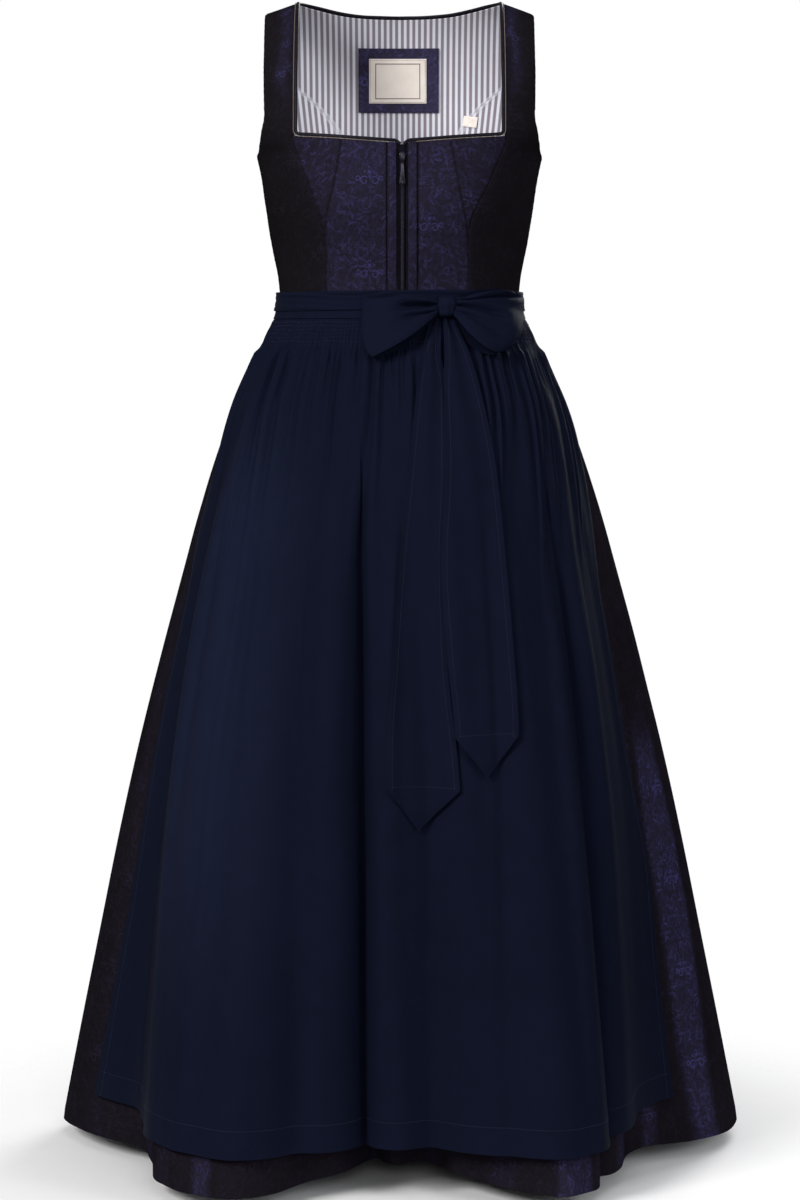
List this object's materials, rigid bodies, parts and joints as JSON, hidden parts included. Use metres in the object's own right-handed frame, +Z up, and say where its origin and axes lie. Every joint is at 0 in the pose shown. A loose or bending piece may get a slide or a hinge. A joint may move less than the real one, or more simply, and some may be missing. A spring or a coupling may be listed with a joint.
{
  "type": "dirndl",
  "caption": "Long sleeveless dirndl with a fitted brocade bodice, front zip, square neckline, full skirt and gathered apron tied in a bow, filled out as if worn",
  "frame": {"origin": "midway between the tops of the two shoulder straps, where the wearer's shoulders hold the dress", "axes": "+Z up, the front of the dress faces -Y, +X to the right of somebody who looks at the front"},
  "size_m": [0.7648, 0.6172, 1.2468],
  "materials": {
    "brocade": "jacquard with satin sheen",
    "apron_cloth": "fine plain weave, matt",
    "lining": "woven stripes, matt",
    "piping": "satin",
    "zip_tape": "woven tape",
    "zip_metal": "dark polished metal",
    "label_cloth": "woven label, plain"
  },
  "bodies": {
    "dress": {"front_centre_left": "brocade", "front_centre_right": "brocade", "front_inset_left": "brocade", "front_inset_right": "brocade", "front_side_left": "brocade", "front_side_right": "brocade", "back_centre": "brocade", "back_side_left": "brocade", "back_side_right": "brocade", "skirt_front": "brocade", "skirt_back": "brocade", "label_patch": "brocade", "lining_back": "lining", "neck_piping": "piping", "zip_strip": "zip_tape", "zip_slider": "zip_metal", "apron_panel": "apron_cloth", "apron_band": "apron_cloth", "apron_tie": "apron_cloth", "bow_knot": "apron_cloth", "bow_loop_left": "apron_cloth", "bow_loop_right": "apron_cloth", "bow_tail_left": "apron_cloth", "bow_tail_right": "apron_cloth", "label": "label_cloth", "size_tag": "label_cloth"},
    "pull": {"zip_pull": "zip_metal"}
  },
  "joints": [
    {"name": "pull_swing", "type": "hinge", "parent": "dress", "child": "pull", "pos_m": [0.003, -0.11579, -0.18093], "axis": [-1, 0, 0], "range_deg": [0, 130]}
  ]
}
